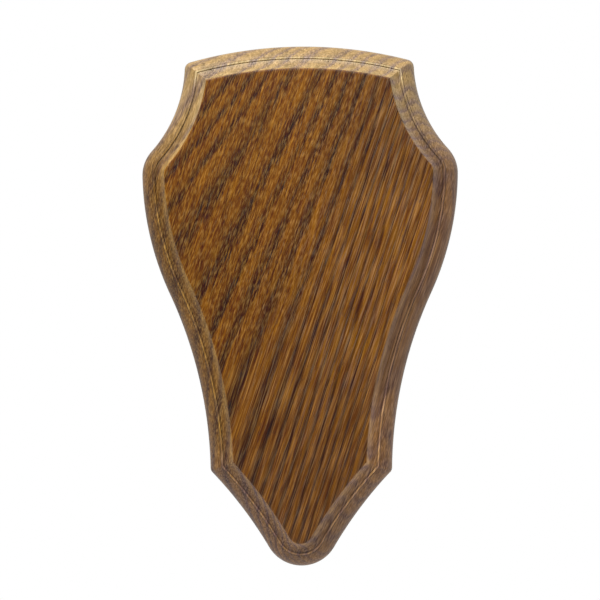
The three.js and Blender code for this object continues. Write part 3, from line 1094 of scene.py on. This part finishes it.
# %% The waxed finish
WAX_ROUGHNESS = 0.38
WAX_SHINE = 0.3
PORE_ROUGHNESS = 0.25
RELIEF_DEPTH = 0.05 * MM


def stained_oak():
    """Stained oak under wax, for every side of the board."""
    material = bpy.data.materials.new("stained_oak")
    material.use_nodes = True
    tree = material.node_tree
    shader = tree.nodes["Principled BSDF"]
    here = add(tree, "ShaderNodeTexCoord")
    wood = place(tree, oak, {"Position": here.outputs["Object"], "Facing": here.outputs["Normal"]})
    tree.links.new(wood.outputs["Color"], shader.inputs["Base Color"])
    rough = calc(tree, "MULTIPLY_ADD", wood.outputs["Groove"], PORE_ROUGHNESS, WAX_ROUGHNESS)
    tree.links.new(rough, shader.inputs["Roughness"])
    shader.inputs["Specular IOR Level"].default_value = WAX_SHINE
    bump = add(tree, "ShaderNodeBump", {
        "Height": wood.outputs["Relief"], "Distance": RELIEF_DEPTH, "Strength": 1.0})
    tree.links.new(bump.outputs["Normal"], shader.inputs["Normal"])
    return material


board.data.materials.clear()
board.data.materials.append(stained_oak())
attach(board, "root")
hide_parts(NODE)
print(f"{board.name} wears {board.data.materials[0].name} and stands for {NODE}")

# %% [markdown]
# ## The studio
#
# The board hangs in front of a bright white backdrop, with a pale floor well below it. One
# large softbox stands above it and a little to the left, so the crown is the brightest and
# the coves on the right fall into shade. A backdrop could be a lit plane, but a world that
# is bright behind and dim in front needs no lamps of its own, and lights the sides evenly.

# %% Backdrop, floor and softbox
ROOM_GLOW = 0.05
PAPER_GLOW = 0.70
PAPER_STARTS = -0.55
PAPER_ENDS = 0.15
PAPER_SEEN = 1.0
WHITE = (1, 1, 1, 1)
FLOOR_DROP = 0.26
FLOOR_SIZE = 1.0
FLOOR_COLOUR = (0.86, 0.85, 0.83, 1)
FLOOR_ROUGHNESS = 0.9
SOFTBOX_PLACE = (-0.14, -0.54, 0.75)
SOFTBOX_SIZE = (0.9, 0.7)
SOFTBOX_POWER = 15.5
BOARD_CENTRE = (0, 0, 0)


def make_world():
    """White paper behind and beside the board, a dim room behind the camera."""
    world = bpy.data.worlds.new("white_studio")
    world.use_nodes = True
    tree = world.node_tree
    tree.nodes.clear()
    look = add(tree, "ShaderNodeTexCoord").outputs["Generated"]
    way = add(tree, "ShaderNodeSeparateXYZ", {"Vector": look})
    glow = between(tree, way.outputs["Y"], PAPER_STARTS, PAPER_ENDS, ROOM_GLOW, PAPER_GLOW)
    seen = add(tree, "ShaderNodeLightPath").outputs["Is Camera Ray"]
    strength = add(tree, "ShaderNodeMix", {0: seen, 2: glow, 3: PAPER_SEEN}, data_type="FLOAT").outputs[0]
    background = add(tree, "ShaderNodeBackground", {"Color": WHITE, "Strength": strength})
    add(tree, "ShaderNodeOutputWorld", {"Surface": background.outputs["Background"]})
    bpy.context.scene.world = world


def make_floor():
    """A wide, pale, matt floor. It is stage, not part of the object."""
    bm = bmesh.new()
    spot = Matrix.Translation((0, 0, node_low.z - FLOOR_DROP))
    bmesh.ops.create_grid(bm, x_segments=1, y_segments=1, size=FLOOR_SIZE, matrix=spot)
    mesh = bpy.data.meshes.new("pale_floor")
    bm.to_mesh(mesh)
    bm.free()
    floor = bpy.data.objects.new("pale_floor", mesh)
    bpy.context.scene.collection.objects.link(floor)
    paint = bpy.data.materials.new("pale_floor")
    paint.use_nodes = True
    shader = paint.node_tree.nodes["Principled BSDF"]
    shader.inputs["Base Color"].default_value = FLOOR_COLOUR
    shader.inputs["Roughness"].default_value = FLOOR_ROUGHNESS
    mesh.materials.append(paint)


def softbox(name, place_at, aim_at, size, power):
    """A large rectangular lamp at one place, aimed at another."""
    light = bpy.data.lights.new(name, "AREA")
    light.shape = "RECTANGLE"
    light.size, light.size_y = size
    light.energy = power
    lamp = bpy.data.objects.new(name, light)
    bpy.context.scene.collection.objects.link(lamp)
    lamp.location = place_at
    lamp.rotation_euler = (Vector(aim_at) - Vector(place_at)).to_track_quat("-Z", "Y").to_euler()


make_world()
make_floor()
softbox("overhead_softbox", SOFTBOX_PLACE, BOARD_CENTRE, SOFTBOX_SIZE, SOFTBOX_POWER)
bpy.context.scene.view_settings.view_transform = "Standard"
print(f"studio: floor {FLOOR_DROP:.2f} m below the tip, softbox of {SOFTBOX_POWER} W")

# %% [markdown]
# ## The camera
#
# The photograph looks almost straight at the face, from two finger widths to the right. The
# camera could be moved by eye, but it is steadier to work from the board's own size: how
# many pixels tall it is, and where its middle lies in the 600 by 600 picture.

# %% Camera
IMAGE_SIDE = 600
BOARD_PIXELS = 518.6
BOARD_MIDDLE = (300.3, 305.9)
SILHOUETTE_Y = -6.1 * MM
CAMERA_DISTANCE = 0.67
CAMERA_AZIMUTH = math.radians(2.6)
CAMERA_ELEVATION = math.radians(-0.3)
CAMERA_ROLL = math.radians(-0.32)
SENSOR = 36
CLIP_START = 0.01


def make_camera():
    """The camera that frames the board as in the photograph, upright but for a slight roll."""
    pixel = height / BOARD_PIXELS
    frame_width = IMAGE_SIDE * pixel
    data = bpy.data.cameras.new("camera")
    data.sensor_fit = "HORIZONTAL"
    data.sensor_width = SENSOR
    data.lens = SENSOR * CAMERA_DISTANCE / frame_width
    data.clip_start = CLIP_START
    camera = bpy.data.objects.new("camera", data)
    bpy.context.scene.collection.objects.link(camera)
    backwards = Vector((
        math.sin(CAMERA_AZIMUTH) * math.cos(CAMERA_ELEVATION),
        -math.cos(CAMERA_AZIMUTH) * math.cos(CAMERA_ELEVATION),
        math.sin(CAMERA_ELEVATION)))
    turn = backwards.to_track_quat("Z", "Y") @ Matrix.Rotation(CAMERA_ROLL, 3, "Z").to_quaternion()
    right = turn @ Vector((1, 0, 0))
    up = turn @ Vector((0, 1, 0))
    aside = (IMAGE_SIDE / 2 - BOARD_MIDDLE[0]) * pixel
    above = (BOARD_MIDDLE[1] - IMAGE_SIDE / 2) * pixel
    middle = Vector((0, SILHOUETTE_Y, (top_z + tip_z) / 2))
    camera.location = middle + right * aside + up * above + backwards * CAMERA_DISTANCE
    camera.rotation_euler = turn.to_euler()
    bpy.context.scene.camera = camera
    return camera


camera = make_camera()
print(f"camera {camera.location.x / MM:.0f} mm to the right, lens {camera.data.lens:.1f} mm")
